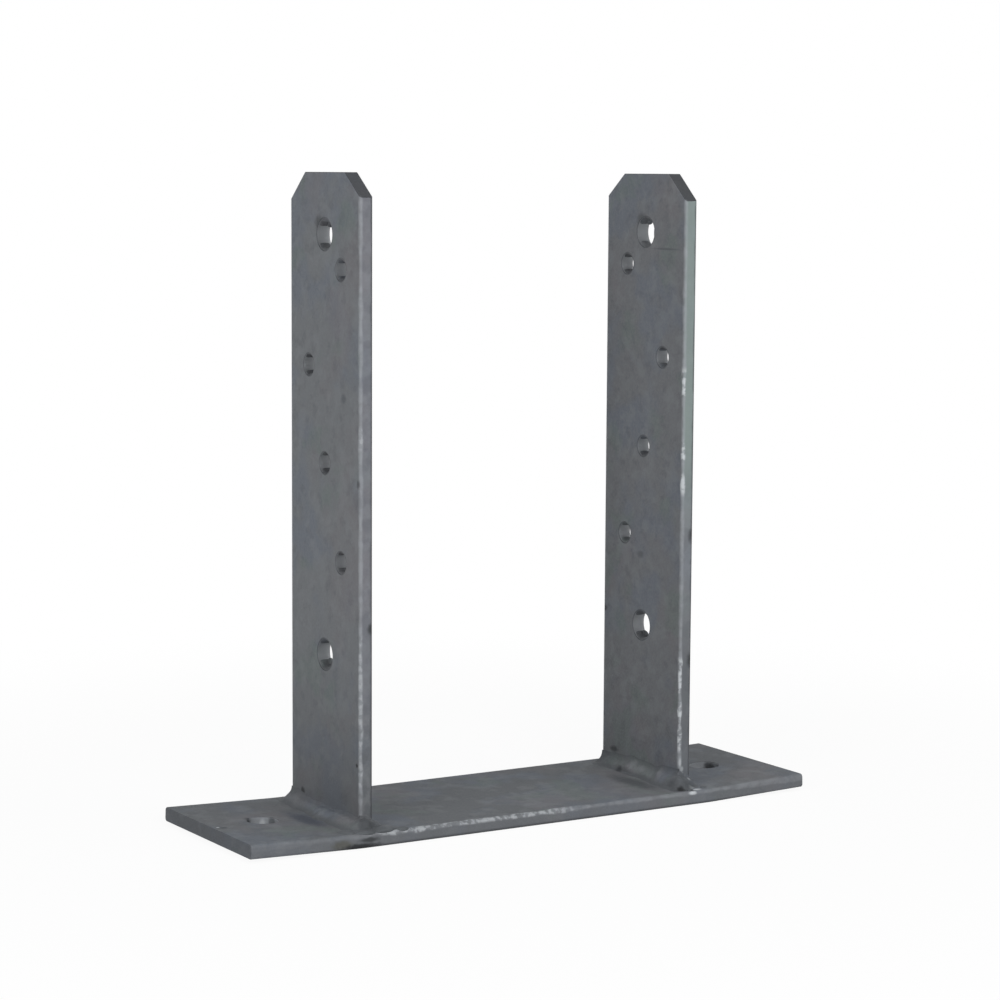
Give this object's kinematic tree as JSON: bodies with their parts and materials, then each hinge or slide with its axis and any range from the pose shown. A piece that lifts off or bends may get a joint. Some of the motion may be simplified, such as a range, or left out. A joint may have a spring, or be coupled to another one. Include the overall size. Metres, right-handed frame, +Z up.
{
  "type": "timber post base",
  "caption": "U-shaped welded flat-bar base that anchors a square timber post to concrete and holds it between two drilled uprights.",
  "frame": {"origin": "middle of the base plate's underside, where it stands on the concrete", "axes": "+X along the plate from the left upright to the right one, +Y across the plate to the back, +Z up the uprights"},
  "size_m": [0.271, 0.08, 0.27],
  "materials": {
    "galvanised_bar": "hot-dip galvanised flat bar, matt dark grey zinc",
    "galvanised_weld": "hot-dip galvanised weld bead, matt dark grey zinc"
  },
  "bodies": {
    "root": {"base_plate": "galvanised_bar", "left_upright": "galvanised_bar", "right_upright": "galvanised_bar", "left_outer_weld": "galvanised_weld", "left_inner_weld": "galvanised_weld", "right_inner_weld": "galvanised_weld", "right_outer_weld": "galvanised_weld"}
  },
  "joints": []
}
